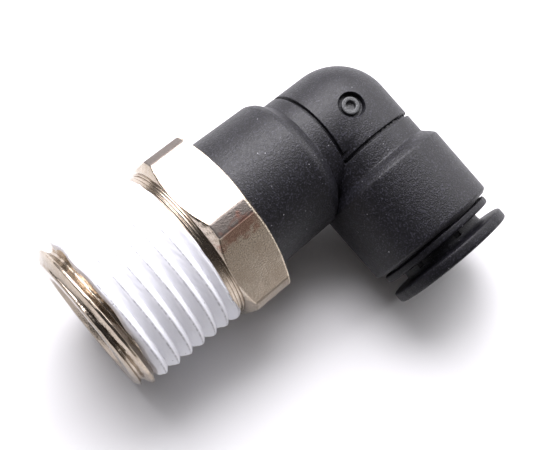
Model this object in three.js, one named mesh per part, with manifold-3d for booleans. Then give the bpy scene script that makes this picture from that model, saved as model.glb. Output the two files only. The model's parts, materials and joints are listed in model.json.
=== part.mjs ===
// Push-in elbow fitting: R 1/2 taper thread to a 10 mm tube, with a swivelling elbow.
// Millimetres, +Z up. Axial places on the stud run along +X from the hexagon's thread-side face.
// Places on the tube port run along the port from the stud's axis.
import * as THREE from 'three';
import { mergeVertices } from 'three/addons/utils/BufferGeometryUtils.js';
import Module from 'manifold-3d';

const wasm = await Module();
wasm.setup();

// ---- Driving dimensions (mm, degrees) ----
const SEGMENTS = 36;                 // facets around large round pieces
const RING_SEGMENTS = 24;            // facets around the small inner rings
const GAP = 0.3;                     // clearance between neighbouring pieces
const OVERRUN = 1;                   // how far a cutting shape runs past the piece it cuts
const MERGE_DISTANCE = 1e-4;         // vertices closer than this are one

// Taper thread, 14 threads per inch, taper 1 in 16 on the diameter
const PITCH = 1.814;
const THREAD_DEPTH = 1.1;
const THREAD_TIP_X = -15.2;          // end face of the stud
const THREAD_TIP_R = 10.2;           // crest radius at the end face
const TAPER = 1 / 32;                // growth of the radius along the axis
const TIP_CHAMFER_R = 8.9;
const TIP_CHAMFER_LENGTH = 0.8;
const TIP_CHAMFER_END_R = 10.05;     // the chamfer trims the first crest to this radius
const CREST_CLEARANCE = 0.1;         // the trimming cone clears the last bare crest by this much
const SPARE_TURNS = 4;               // turns of the screw beyond the stretch that is kept
const COAT_START_X = -12.7;          // the sealant leaves the first threads bare
const COAT_END_X = -1.1;
const COAT_CORE_DEPTH = 1.35;        // the coat's inner face, below the crests
const FIRST_CREST_X = -11.7;         // a crest passes the port's side of the stud here

// Hexagon and neck
const HEX_ACROSS_FLATS = 21.8;
const HEX_CORNER_R = 12.15;          // the corners are turned down to this radius
const HEX_LENGTH = 6.45;
const HEX_FACE_R = 10.95;            // where both chamfers start
const THREAD_SIDE_CHAMFER = 0.85;
const BODY_SIDE_CHAMFER = 0.5;
const HEX_CORNER_FROM_PORT = 18.8;   // angle from the port's direction up to the nearest corner
const NECK_R = 10.6;
const NECK_GROOVE_R = 10.3;
const NECK_GROOVE_WIDTH = 0.2;

// Stem inside the elbow, and the bore through the stud
const STEM_R = 6.9;
const STEM_END_X = 16.4;
const BORE_R = 6.2;
const BORE_CHAMFER = 0.5;
const BORE_STEP_X = 2.5;
const STEM_BORE_R = 4.5;
const O_RING_X = 14.2;
const O_RING_R = 6.4;
const O_RING_SECTION_R = 0.6;
const O_RING_FACETS = 8;             // round its section
const O_RING_GROOVE_R = 5.55;
const O_RING_GROOVE_HALF = 0.9;
const SNAP_RING_X = 10.2;
const SNAP_RING_WIDTH = 0.8;
const SNAP_RING_INNER_R = 6.45;
const SNAP_RING_OUTER_R = 7.65;
const SNAP_RING_OPENING = 36;        // degrees left open in the C shape
const SNAP_GROOVE_INNER_R = 6.15;
const SNAP_GROOVE_OUTER_R = 7.95;

// Elbow body
const PORT_TILT = 8.35;              // the elbow is turned on the stud until its port rests on the table
const SLEEVE_START_X = HEX_LENGTH + GAP;
const SLEEVE_R = 9.22;
const SHOULDER_X = 16.2;
const SHOULDER_END_X = 18.1;
const SHOULDER_STEPS = 4;            // facets along the rounded shoulder
const COLLAR_R = 7.7;
const CORNER_STEPS = 10;             // facets along the rounded outer corner
const SLEEVE_BORE_R = STEM_R + GAP;
const SLEEVE_BORE_END_X = STEM_END_X + GAP;
const PORT_X = 25.2;                 // where the port's axis crosses the stud's axis
const GROOVE_FROM_CORNER = 4.85;     // both moulding grooves, from the crossing of the axes
const GROOVE_DEPTH = 0.55;
const GROOVE_WIDTH = 0.5;
const PORT_COLLAR_END = 7.65;
const PORT_SHOULDER = 8.45;
const PORT_SHOULDER_R = 8.5;
const PORT_BODY_START = 9.0;
const PORT_BODY_R = 8.9;
const PORT_BODY_END = 18.65;
const PORT_CHAMFER_LENGTH = 0.4;
const PORT_CHAMFER_DEPTH = 0.5;
const PASSAGE_R = 4.3;
const PASSAGE_STEPS = 6;             // facets along the passage's rounded corner
const TUBE_STOP = 4.8;
const TUBE_SEAT_R = 5.2;
const CHAMBER_START = 9.3;
const CHAMBER_R = 7.2;
const GATE_R = 1.65;
const GATE_STUB_R = 1.2;
const GATE_HOLE_R = 0.65;
const GATE_DEPTH = 0.8;
const GATE_SEGMENTS = 20;

// Pieces inside the port, for a tube of 5 mm radius
const INNER_RING_R = CHAMBER_R - GAP;
const SEAL_START = 9.6;
const SEAL_START_R = 5.45;
const SEAL_THROAT = 11.04;
const SEAL_THROAT_R = 5.2;
const SEAL_LIP = 11.52;
const SEAL_LIP_R = 4.85;             // a little smaller than the tube, which it grips
const SEAL_END = 12.0;
const SEAL_END_R = 5.6;
const RETAINER_START = 12.3;
const RETAINER_FLOOR = 0.65;
const RETAINER_INNER_R = 5.4;
const RETAINER_END = 14.0;
const CLAW_RIM_START = 14.3;
const CLAW_RIM_THICKNESS = 0.5;
const CLAW_RIM_INNER_R = 6.45;
const CLAW_COUNT = 10;
const CLAW_HINGE_R = 6.15;
const CLAW_TIP_R = 4.95;             // the claws' tips bite into the tube
const CLAW_DROP = 0.8;
const CLAW_THICKNESS = 0.3;
const CLAW_SPREAD = 26;              // degrees around the port that one claw covers at its root
const GUIDE_START = 15.1;
const GUIDE_LIP_START = 18.95;
const GUIDE_LIP_R = 8.05;
const GUIDE_BACK_CHAMFER = 0.2;
const GUIDE_FRONT_CHAMFER = 0.3;
const GUIDE_END = 19.9;
const GUIDE_CATCH = 17.3;
const GUIDE_INNER_R = 6.1;
const GUIDE_CATCH_R = 6.55;
const BUSH_START = 14.9;
const BUSH_START_R = 5.35;
const BUSH_TAPER_LENGTH = 0.8;       // the inner end is tapered, to push the claws open
const BUSH_INNER_R = 5.2;
const BUSH_OUTER_R = 5.8;
const BUSH_BARB_R = 6.25;
const BUSH_BARB_START = 16.2;
const BUSH_BARB_RISE = 0.4;
const FLANGE_START = 21.35;
const FLANGE_END = 22.8;
const FLANGE_R = 8.55;
const FLANGE_BACK_CHAMFER = 0.25;
const FLANGE_FRONT_CHAMFER = 0.4;
const MOUTH_CHAMFER = 0.5;
const SLIT_COUNT = 6;
const SLIT_WIDTH = 0.9;
const SLIT_END = 20.9;
const SLIT_CUT_HEIGHT = 4;           // more than the bush's wall

const rad = THREE.MathUtils.degToRad;

// ---- Materials ----
const nickel = new THREE.MeshStandardMaterial({ color: 0xb9aa98, roughness: 0.28, metalness: 1.0 });
const sealant = new THREE.MeshStandardMaterial({ color: 0xf1f0f6, roughness: 0.75, metalness: 0.0 });
const blackPlastic = new THREE.MeshStandardMaterial({ color: 0x2c2b30, roughness: 0.6, metalness: 0.0 });
const rubber = new THREE.MeshStandardMaterial({ color: 0x161616, roughness: 0.85, metalness: 0.0 });
const acetal = new THREE.MeshStandardMaterial({ color: 0xd9d8d0, roughness: 0.5, metalness: 0.0 });
const stainless = new THREE.MeshStandardMaterial({ color: 0xc4c6c8, roughness: 0.3, metalness: 1.0 });

// ---- Solids ----
// A closed geometry becomes a solid once its shared vertices are merged.
function toSolid(geometry) {
  const bare = geometry.clone();
  bare.deleteAttribute('normal');
  bare.deleteAttribute('uv');
  const merged = mergeVertices(bare, MERGE_DISTANCE);
  return new wasm.Manifold(new wasm.Mesh({
    numProp: 3,
    vertProperties: new Float32Array(merged.attributes.position.array),
    triVerts: new Uint32Array(merged.index.array),
  }));
}

function toGeometry(solid) {
  const mesh = solid.getMesh();
  const geometry = new THREE.BufferGeometry();
  geometry.setAttribute('position', new THREE.BufferAttribute(new Float32Array(mesh.vertProperties), 3));
  geometry.setIndex(new THREE.BufferAttribute(new Uint32Array(mesh.triVerts), 1));
  geometry.computeVertexNormals();
  return geometry;
}

// Turns a profile of [place along the axis, radius] points about the +X axis.
// It goes outwards at its start and back inwards at its end.
function turned(profile, segments = SEGMENTS) {
  const points = profile.map(([along, radius]) => new THREE.Vector2(radius, along));
  const geometry = new THREE.LatheGeometry(points, segments);
  return geometry.rotateZ(-Math.PI / 2);
}

// A ring needs its profile closed on itself; its first point is repeated at the end.
function turnedRing(profile, segments = SEGMENTS) {
  return turned([...profile, profile[0]], segments);
}

// The same shape, but running along the port: down -Y from the stud's axis, at the port's place on X.
function alongPort(geometry) {
  return geometry.rotateZ(-Math.PI / 2).translate(PORT_X, 0, 0);
}

// Points on a circle about an [along, radius] centre, from one angle to another.
function arc(centre, radius, fromDegrees, toDegrees, steps) {
  return Array.from({ length: steps + 1 }, (_, i) => {
    const angle = rad(fromDegrees + (toDegrees - fromDegrees) * i / steps);
    return [centre[0] + radius * Math.cos(angle), centre[1] + radius * Math.sin(angle)];
  });
}

// ---- Taper thread ----
const crestRadius = (x) => THREAD_TIP_R + (x - THREAD_TIP_X) * TAPER;

// One pitch of the thread's outline: place within the pitch, depth below the crest.
const THREAD_OUTLINE = [[-0.1, 0], [0.1, 0], [0.4, 1], [0.6, 1]];

// A solid screw about the X axis, from x0 to x1 at least, with its end faces as fans.
function screw(x0, x1, segments) {
  const turns = Math.ceil((x1 - x0) / PITCH) + SPARE_TURNS;
  const rows = [];
  for (let turn = 0; turn < turns; turn += 1) {
    for (const [place, depth] of THREAD_OUTLINE) {
      rows.push([(turn + place) * PITCH, depth * THREAD_DEPTH]);
    }
  }
  const firstCrest = FIRST_CREST_X - PITCH * Math.ceil((FIRST_CREST_X - x0) / PITCH + 1);
  // The helix is one grid: a row continues into the row one pitch further on after a full turn.
  const perPitch = THREAD_OUTLINE.length;
  const positions = [];
  const index = [];
  const vertex = (row, step) => (step === segments ? vertex(row + perPitch, 0) : row * segments + step);
  const lastRow = rows.length - perPitch - 1;
  rows.forEach(([along, depth]) => {
    for (let step = 0; step < segments; step += 1) {
      const angle = 2 * Math.PI * step / segments;
      const x = firstCrest + along + PITCH * step / segments;
      const radius = crestRadius(x) - depth;
      positions.push(x, -radius * Math.cos(angle), -radius * Math.sin(angle));
    }
  });
  for (let row = 0; row < lastRow; row += 1) {
    for (let step = 0; step < segments; step += 1) {
      const a = vertex(row, step);
      const b = vertex(row, step + 1);
      const c = vertex(row + 1, step + 1);
      const d = vertex(row + 1, step);
      index.push(a, b, c, a, c, d);
    }
  }
  // End faces: a fan from a point on the axis round the first turn, closed across the thread's start.
  const startLoop = [];
  for (let step = 0; step < segments; step += 1) startLoop.push(vertex(0, step));
  for (let row = perPitch; row >= 1; row -= 1) startLoop.push(vertex(row, 0));
  const endLoop = [];
  for (let step = 0; step < segments; step += 1) endLoop.push(vertex(lastRow, step));
  for (let row = lastRow + perPitch; row > lastRow; row -= 1) endLoop.push(vertex(row, 0));
  const startCentre = positions.length / 3;
  positions.push(firstCrest - PITCH, 0, 0);
  const endCentre = startCentre + 1;
  positions.push(firstCrest + rows[lastRow][0] + 2 * PITCH, 0, 0);
  startLoop.forEach((v, i) => index.push(startCentre, startLoop[(i + 1) % startLoop.length], v));
  endLoop.forEach((v, i) => index.push(endCentre, v, endLoop[(i + 1) % endLoop.length]));
  const geometry = new THREE.BufferGeometry();
  geometry.setAttribute('position', new THREE.Float32BufferAttribute(positions, 3));
  geometry.setIndex(index);
  return toSolid(geometry);
}

// ---- Pieces on the stud ----
function screwSpan(x0, x1, outerProfile) {
  return screw(x0, x1, SEGMENTS).intersect(toSolid(turned(outerProfile)));
}

function hexagon() {
  const cornerToCorner = HEX_ACROSS_FLATS / Math.sqrt(3);
  const prism = new THREE.CylinderGeometry(cornerToCorner, cornerToCorner, HEX_LENGTH, 6);
  prism.rotateZ(-Math.PI / 2).rotateX(rad(30 - HEX_CORNER_FROM_PORT + PORT_TILT));
  prism.translate(HEX_LENGTH / 2, 0, 0);
  const chamfers = turned([
    [0, 0],
    [0, HEX_FACE_R],
    [THREAD_SIDE_CHAMFER, HEX_CORNER_R],
    [HEX_LENGTH - BODY_SIDE_CHAMFER, HEX_CORNER_R],
    [HEX_LENGTH, HEX_FACE_R],
    [HEX_LENGTH, 0],
  ]);
  return toSolid(prism).intersect(toSolid(chamfers));
}

function makeStud() {
  const bareEnd = COAT_START_X - GAP / 2;
  const coreStart = bareEnd - GAP;
  const coreRadius = (x) => crestRadius(x) - COAT_CORE_DEPTH - GAP / 2;
  const neckStart = COAT_END_X + GAP;
  const bareThread = screwSpan(THREAD_TIP_X, bareEnd, [
    [THREAD_TIP_X, 0],
    [THREAD_TIP_X, TIP_CHAMFER_R],
    [THREAD_TIP_X + TIP_CHAMFER_LENGTH, TIP_CHAMFER_END_R],
    [bareEnd, crestRadius(bareEnd) + CREST_CLEARANCE],
    [bareEnd, 0],
  ]);
  const core = turned([
    [coreStart, 0],
    [coreStart, coreRadius(coreStart)],
    [neckStart, coreRadius(neckStart)],
    [neckStart, NECK_R],
    [-2 * NECK_GROOVE_WIDTH, NECK_R],
    [-2 * NECK_GROOVE_WIDTH, NECK_GROOVE_R],
    [-NECK_GROOVE_WIDTH, NECK_GROOVE_R],
    [-NECK_GROOVE_WIDTH, NECK_R],
    [GAP, NECK_R],
    [GAP, STEM_R],
    [SNAP_RING_X - SNAP_RING_WIDTH / 2 - GAP, STEM_R],
    [SNAP_RING_X - SNAP_RING_WIDTH / 2 - GAP, SNAP_GROOVE_INNER_R],
    [SNAP_RING_X + SNAP_RING_WIDTH / 2 + GAP, SNAP_GROOVE_INNER_R],
    [SNAP_RING_X + SNAP_RING_WIDTH / 2 + GAP, STEM_R],
    [O_RING_X - O_RING_GROOVE_HALF, STEM_R],
    [O_RING_X - O_RING_GROOVE_HALF, O_RING_GROOVE_R],
    [O_RING_X + O_RING_GROOVE_HALF, O_RING_GROOVE_R],
    [O_RING_X + O_RING_GROOVE_HALF, STEM_R],
    [STEM_END_X - GAP, STEM_R],
    [STEM_END_X, STEM_R - GAP],
    [STEM_END_X, 0],
  ]);
  const bore = turned([
    [THREAD_TIP_X - OVERRUN, 0],
    [THREAD_TIP_X - OVERRUN, BORE_R + BORE_CHAMFER + OVERRUN],
    [THREAD_TIP_X + BORE_CHAMFER, BORE_R],
    [BORE_STEP_X, BORE_R],
    [BORE_STEP_X + (BORE_R - STEM_BORE_R), STEM_BORE_R],
    [STEM_END_X + OVERRUN, STEM_BORE_R],
    [STEM_END_X + OVERRUN, 0],
  ]);
  return toGeometry(bareThread.add(toSolid(core)).add(hexagon()).subtract(toSolid(bore)));
}

function makeSealant() {
  const innerRadius = (x) => crestRadius(x) - COAT_CORE_DEPTH;
  return toGeometry(screw(COAT_START_X, COAT_END_X, SEGMENTS).intersect(toSolid(turnedRing([
    [COAT_START_X, innerRadius(COAT_START_X)],
    [COAT_START_X, crestRadius(COAT_END_X) + OVERRUN],
    [COAT_END_X, crestRadius(COAT_END_X) + OVERRUN],
    [COAT_END_X, innerRadius(COAT_END_X)],
  ]))));
}

function makeSnapRing() {
  const half = rad(SNAP_RING_OPENING / 2);
  const outline = new THREE.Shape();
  outline.absarc(0, 0, SNAP_RING_OUTER_R, half, 2 * Math.PI - half, false);
  outline.absarc(0, 0, SNAP_RING_INNER_R, 2 * Math.PI - half, half, true);
  outline.closePath();
  const options = { depth: SNAP_RING_WIDTH, bevelEnabled: false, curveSegments: RING_SEGMENTS };
  const ring = new THREE.ExtrudeGeometry(outline, options);
  return ring.rotateY(Math.PI / 2).translate(SNAP_RING_X - SNAP_RING_WIDTH / 2, 0, 0);
}

function makeStemORing() {
  const ring = new THREE.TorusGeometry(O_RING_R, O_RING_SECTION_R, O_RING_FACETS, RING_SEGMENTS);
  return ring.rotateY(Math.PI / 2).translate(O_RING_X, 0, 0);
}

// ---- Elbow body ----
function elbowOutside() {
  const grooveX = PORT_X - GROOVE_FROM_CORNER;
  const grooveHalf = GROOVE_WIDTH / 2;
  const shoulderRun = SHOULDER_END_X - SHOULDER_X;
  const sleeve = turned([
    [SLEEVE_START_X, 0],
    [SLEEVE_START_X, SLEEVE_R],
    ...arc([SHOULDER_X, SLEEVE_R - shoulderRun], shoulderRun, 90, 30, SHOULDER_STEPS),
    [SHOULDER_END_X, COLLAR_R],
    [grooveX - grooveHalf, COLLAR_R],
    [grooveX - grooveHalf, COLLAR_R - GROOVE_DEPTH],
    [grooveX + grooveHalf, COLLAR_R - GROOVE_DEPTH],
    [grooveX + grooveHalf, COLLAR_R],
    ...arc([PORT_X, 0], COLLAR_R, 90, 0, CORNER_STEPS),
  ]);
  const port = alongPort(turned([
    [0, 0],
    [0, COLLAR_R],
    [GROOVE_FROM_CORNER - grooveHalf, COLLAR_R],
    [GROOVE_FROM_CORNER - grooveHalf, COLLAR_R - GROOVE_DEPTH],
    [GROOVE_FROM_CORNER + grooveHalf, COLLAR_R - GROOVE_DEPTH],
    [GROOVE_FROM_CORNER + grooveHalf, COLLAR_R],
    [PORT_COLLAR_END, COLLAR_R],
    [PORT_SHOULDER, PORT_SHOULDER_R],
    [PORT_BODY_START, PORT_BODY_R],
    [PORT_BODY_END - PORT_CHAMFER_LENGTH, PORT_BODY_R],
    [PORT_BODY_END, PORT_BODY_R - PORT_CHAMFER_DEPTH],
    [PORT_BODY_END, 0],
  ]));
  return toSolid(sleeve).add(toSolid(port));
}

function elbowPassages() {
  const snapHalf = SNAP_RING_WIDTH / 2 + GAP;
  const sleeveBore = turned([
    [SLEEVE_START_X - OVERRUN, 0],
    [SLEEVE_START_X - OVERRUN, SLEEVE_BORE_R],
    [SNAP_RING_X - snapHalf, SLEEVE_BORE_R],
    [SNAP_RING_X - snapHalf, SNAP_GROOVE_OUTER_R],
    [SNAP_RING_X + snapHalf, SNAP_GROOVE_OUTER_R],
    [SNAP_RING_X + snapHalf, SLEEVE_BORE_R],
    [SLEEVE_BORE_END_X, SLEEVE_BORE_R],
    [SLEEVE_BORE_END_X, PASSAGE_R],
    ...arc([PORT_X, 0], PASSAGE_R, 90, 0, PASSAGE_STEPS),
  ]);
  const portBore = alongPort(turned([
    [0, 0],
    [0, PASSAGE_R],
    [TUBE_STOP, PASSAGE_R],
    [TUBE_STOP, TUBE_SEAT_R],
    [CHAMBER_START, TUBE_SEAT_R],
    [CHAMBER_START, CHAMBER_R],
    [PORT_BODY_END + OVERRUN, CHAMBER_R],
    [PORT_BODY_END + OVERRUN, 0],
  ]));
  return toSolid(sleeveBore).add(toSolid(portBore));
}

// The round recess left by the moulding gate, with its broken-off stub standing in it.
function gateRecess() {
  const top = COLLAR_R + OVERRUN;
  const floor = COLLAR_R - GATE_DEPTH;
  const ring = new THREE.LatheGeometry([
    new THREE.Vector2(GATE_STUB_R, floor),
    new THREE.Vector2(GATE_R, floor),
    new THREE.Vector2(GATE_R, top),
    new THREE.Vector2(0, top),
    new THREE.Vector2(0, floor),
    new THREE.Vector2(GATE_HOLE_R, floor),
    new THREE.Vector2(GATE_HOLE_R, COLLAR_R - GATE_DEPTH / 2),
    new THREE.Vector2(GATE_STUB_R, COLLAR_R - GATE_DEPTH / 2),
    new THREE.Vector2(GATE_STUB_R, floor),
  ], GATE_SEGMENTS);
  return ring.rotateX(Math.PI / 2).translate(PORT_X, 0, 0);
}

function makeElbowBody() {
  return toGeometry(elbowOutside().subtract(elbowPassages()).subtract(toSolid(gateRecess())));
}

// ---- Pieces inside the port ----
function portRing(profile) {
  return alongPort(turnedRing(profile, RING_SEGMENTS));
}

const makeTubeSeal = () => portRing([
  [SEAL_START, SEAL_START_R],
  [SEAL_START, INNER_RING_R],
  [SEAL_END, INNER_RING_R],
  [SEAL_END, SEAL_END_R],
  [SEAL_LIP, SEAL_LIP_R],
  [SEAL_THROAT, SEAL_THROAT_R],
]);

const makeSealRetainer = () => portRing([
  [RETAINER_START, RETAINER_INNER_R],
  [RETAINER_START, INNER_RING_R],
  [RETAINER_END, INNER_RING_R],
  [RETAINER_END, CLAW_RIM_INNER_R],
  [RETAINER_START + RETAINER_FLOOR, CLAW_RIM_INNER_R],
  [RETAINER_START + RETAINER_FLOOR, RETAINER_INNER_R],
]);

const makeClawRim = () => portRing([
  [CLAW_RIM_START, CLAW_RIM_INNER_R],
  [CLAW_RIM_START, INNER_RING_R],
  [CLAW_RIM_START + CLAW_RIM_THICKNESS, INNER_RING_R],
  [CLAW_RIM_START + CLAW_RIM_THICKNESS, CLAW_RIM_INNER_R],
]);

const makeGuideRing = () => portRing([
  [GUIDE_START, GUIDE_CATCH_R],
  [GUIDE_START, INNER_RING_R],
  [GUIDE_LIP_START, INNER_RING_R],
  [GUIDE_LIP_START, GUIDE_LIP_R - GUIDE_BACK_CHAMFER],
  [GUIDE_LIP_START + GUIDE_BACK_CHAMFER, GUIDE_LIP_R],
  [GUIDE_END - GUIDE_FRONT_CHAMFER, GUIDE_LIP_R],
  [GUIDE_END, GUIDE_LIP_R - GUIDE_FRONT_CHAMFER],
  [GUIDE_END, GUIDE_INNER_R],
  [GUIDE_CATCH, GUIDE_INNER_R],
  [GUIDE_CATCH, GUIDE_CATCH_R],
]);

function makeReleaseRing() {
  const bush = portRing([
    [BUSH_START, BUSH_INNER_R],
    [BUSH_START, BUSH_START_R],
    [BUSH_START + BUSH_TAPER_LENGTH, BUSH_OUTER_R],
    [BUSH_BARB_START, BUSH_OUTER_R],
    [BUSH_BARB_START + BUSH_BARB_RISE, BUSH_BARB_R],
    [GUIDE_CATCH - GAP, BUSH_BARB_R],
    [GUIDE_CATCH - GAP, BUSH_OUTER_R],
    [FLANGE_START, BUSH_OUTER_R],
    [FLANGE_START, FLANGE_R - FLANGE_BACK_CHAMFER],
    [FLANGE_START + FLANGE_BACK_CHAMFER, FLANGE_R],
    [FLANGE_END - FLANGE_FRONT_CHAMFER, FLANGE_R],
    [FLANGE_END, FLANGE_R - FLANGE_FRONT_CHAMFER],
    [FLANGE_END, BUSH_INNER_R + MOUTH_CHAMFER],
    [FLANGE_END - MOUTH_CHAMFER, BUSH_INNER_R],
  ]);
  let ring = toSolid(bush);
  const slitDepth = SLIT_END - BUSH_START + OVERRUN;
  for (let i = 0; i < SLIT_COUNT; i += 1) {
    const slit = new THREE.BoxGeometry(slitDepth, SLIT_WIDTH, SLIT_CUT_HEIGHT);
    slit.translate(SLIT_END - slitDepth / 2, 0, (BUSH_INNER_R + BUSH_OUTER_R) / 2);
    slit.rotateX(2 * Math.PI * (i + 0.5) / SLIT_COUNT);
    ring = ring.subtract(toSolid(alongPort(slit)));
  }
  return toGeometry(ring);
}

// A claw is a thin leaf from its root at the rim down to the tube, narrowing with the radius.
function makeClaw(index) {
  const spread = Math.tan(rad(CLAW_SPREAD / 2));
  const reach = CLAW_HINGE_R - CLAW_TIP_R;
  const length = Math.hypot(reach, CLAW_DROP);
  const outline = new THREE.Shape();
  outline.moveTo(0, -CLAW_HINGE_R * spread);
  outline.lineTo(0, CLAW_HINGE_R * spread);
  outline.lineTo(-length, CLAW_TIP_R * spread);
  outline.lineTo(-length, -CLAW_TIP_R * spread);
  outline.closePath();
  const leaf = new THREE.ExtrudeGeometry(outline, { depth: CLAW_THICKNESS, bevelEnabled: false });
  leaf.translate(0, 0, -CLAW_THICKNESS / 2);
  // The leaf lies across the port and dips towards the body, then goes to its place round the port.
  leaf.rotateY(-Math.atan2(CLAW_DROP, reach));
  leaf.translate(CLAW_HINGE_R, 0, 0);
  leaf.rotateX(Math.PI / 2);
  leaf.rotateY(-2 * Math.PI * index / CLAW_COUNT);
  return leaf.translate(PORT_X, -(CLAW_RIM_START + CLAW_RIM_THICKNESS / 2), 0);
}

// ---- Assembly ----
function named(name, geometry, material) {
  const mesh = new THREE.Mesh(geometry, material);
  mesh.name = name;
  return mesh;
}

const stud = new THREE.Group();
stud.add(named('threaded_stud', makeStud(), nickel));
stud.add(named('thread_sealant', makeSealant(), sealant));
stud.add(named('stem_snap_ring', makeSnapRing(), stainless));
stud.add(named('stem_o_ring', makeStemORing(), rubber));

const elbow = new THREE.Group();
elbow.rotation.x = rad(PORT_TILT);
elbow.add(named('elbow_body', makeElbowBody(), blackPlastic));
elbow.add(named('tube_seal', makeTubeSeal(), rubber));
elbow.add(named('seal_retainer', makeSealRetainer(), acetal));
elbow.add(named('claw_ring_rim', makeClawRim(), stainless));
elbow.add(named('port_guide_ring', makeGuideRing(), blackPlastic));
elbow.add(named('release_ring', makeReleaseRing(), blackPlastic));
for (let i = 0; i < CLAW_COUNT; i += 1) {
  elbow.add(named(`grip_claw_${i + 1}`, makeClaw(i), stainless));
}

// The origin is under the middle of the fitting, on the surface that it rests on.
const fitting = new THREE.Group();
fitting.add(stud, elbow);
fitting.updateMatrixWorld(true);
const extent = new THREE.Box3().setFromObject(fitting, true);
const middle = extent.getCenter(new THREE.Vector3());
fitting.position.set(-middle.x, -middle.y, -extent.min.z);

export default fitting;
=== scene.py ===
import json
import math

import bmesh
import bpy
import numpy as np
from mathutils import Matrix, Vector


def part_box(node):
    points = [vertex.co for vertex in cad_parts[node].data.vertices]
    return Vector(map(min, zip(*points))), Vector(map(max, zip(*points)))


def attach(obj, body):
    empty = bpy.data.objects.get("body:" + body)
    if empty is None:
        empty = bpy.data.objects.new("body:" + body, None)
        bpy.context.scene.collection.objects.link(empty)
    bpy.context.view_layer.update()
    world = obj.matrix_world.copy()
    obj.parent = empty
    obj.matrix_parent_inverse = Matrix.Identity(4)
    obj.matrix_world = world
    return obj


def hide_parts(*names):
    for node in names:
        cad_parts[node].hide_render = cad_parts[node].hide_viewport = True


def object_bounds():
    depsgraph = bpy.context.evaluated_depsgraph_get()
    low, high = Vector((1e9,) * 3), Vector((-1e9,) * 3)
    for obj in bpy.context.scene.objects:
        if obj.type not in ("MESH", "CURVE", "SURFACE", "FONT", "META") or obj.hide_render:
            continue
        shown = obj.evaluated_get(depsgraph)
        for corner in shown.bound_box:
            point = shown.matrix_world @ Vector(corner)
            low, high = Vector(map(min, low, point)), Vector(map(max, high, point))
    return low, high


# The looks of a push-in elbow fitting: R 1/2 taper thread, swivelling elbow, port for a 10 mm tube.
#
# Lengths are in millimetres until a mesh is made, and angles in degrees.
# The stud's own axes start on the thread's axis at the hexagon's thread side, with x towards the elbow.
# Angles round the stud start at the -y side and go up. The elbow's axes are the stud's, turned by the
# elbow's tilt. Places on the port run outwards from the stud's axis.

MM = 0.001

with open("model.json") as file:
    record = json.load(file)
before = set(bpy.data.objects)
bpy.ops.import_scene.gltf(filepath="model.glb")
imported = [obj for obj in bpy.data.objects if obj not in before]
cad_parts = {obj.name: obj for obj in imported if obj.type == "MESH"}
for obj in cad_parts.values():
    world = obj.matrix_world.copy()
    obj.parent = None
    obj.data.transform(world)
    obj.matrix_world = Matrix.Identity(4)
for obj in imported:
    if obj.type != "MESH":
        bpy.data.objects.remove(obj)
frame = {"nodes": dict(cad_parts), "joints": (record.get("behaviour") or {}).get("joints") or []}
cad_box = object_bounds()
joints = {joint["name"]: joint for joint in frame["joints"]}
STUD_ORIGIN = Vector(joints["swivel"]["pos_m"]) / MM
PORT_TILT = math.asin(joints["release_push"]["axis"][2])


def axial_span(node):
    """The lowest and highest x of a CAD node, along the stud from the hexagon."""
    low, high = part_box(node)
    return low.x / MM - STUD_ORIGIN.x, high.x / MM - STUD_ORIGIN.x


# ---- Sizes of the stud ----
TIP_X, STEM_END_X = axial_span("threaded_stud")
COAT_START_X, COAT_END_X = axial_span("thread_sealant")
PITCH = 1.814
TIP_CREST_R = 10.2
TAPER = 1 / 32
THREAD_DEPTH = 1.1
THREAD_CREST_HALF = 0.09          # in pitches: half the width of a crest
THREAD_FLANK = 0.33               # in pitches: width of a flank
THREAD_ROUNDING = 0.12            # of its crests and roots
THREAD_DENTS = 0.034
FIRST_CREST_X = -11.7             # a crest passes the -y side here
TIP_CHAMFER_R = 8.9
TIP_CHAMFER_SLOPE = 1.45          # radius gained along the tip's chamfer
TIP_CHAMFER_ROUNDING = 0.12
CORE_DEPTH = 1.5                  # how far the stud's core lies below the crests
NECK_START_X = -1.2
NECK_R = 10.6
NECK_RIDGES = 2
NECK_RIDGE_DEPTH = 0.12
NECK_GROOVE_X = -0.32
NECK_GROOVE_R = 10.3
HEX_LENGTH = 6.45
HEX_ACROSS_FLATS = 21.8
HEX_CORNER_R = 12.15
HEX_FACE_R = 10.95
THREAD_SIDE_CHAMFER = 0.85
BODY_SIDE_CHAMFER = 0.5
HEX_CORNER_ANGLE = 18.8 - math.degrees(PORT_TILT)
HEX_EDGE_SOFTNESS = 0.06
THREAD_SIDE_SOFTNESS = 0.14
BODY_SIDE_SOFTNESS = 0.32
EDGE_NICKS = 0.03
STEM_R = 6.9
BORE_R = 6.2
BORE_STEP_X = 2.5
STEM_BORE_R = 4.5
BORE_CHAMFER = 0.7
SNAP_RING_X = 10.2
SNAP_GROOVE_HALF = 0.7
SNAP_GROOVE_R = 6.15              # floor of the snap ring's groove in the stem
O_RING_X = 14.2
O_RING_GROOVE_HALF = 0.9
O_RING_GROOVE_R = 5.55

# ---- Sizes of the elbow and its port ----
SLEEVE_START_X = axial_span("elbow_body")[0]
SLEEVE_START_R = 9.3
SLEEVE_SHOULDER_R = 9.14
SLEEVE_BORE_R = 7.2
SLEEVE_BORE_END_X = 16.7
SNAP_SEAT_R = 7.95                # floor of the snap ring's groove in the sleeve
SHOULDER_X = 16.2
SHOULDER_END_X = 18.1
SHOULDER_ROUND = 0.75             # length of the shoulder's rounded start
SHOULDER_DROP = 0.32              # radius lost along it
COLLAR_R = 7.7
PORT_X = 25.2
GROOVE = 4.85                     # from the crossing of the axes, on both arms
GROOVE_DEPTH = 0.5
GROOVE_HALF = 0.22
CREASE_SOFTNESS = 1.2             # over how far the two arms blend where they cross
CREASE_FADE_IN = 4.0              # the blend grows over this distance from the corner
CREASE_FADE_OUT = 1.6             # and ends at the grooves, from this far before their middle
PORT_STEP = 7.65
PORT_STEP_LENGTH = 0.75
PORT_STEP_END_R = 8.5
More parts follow.
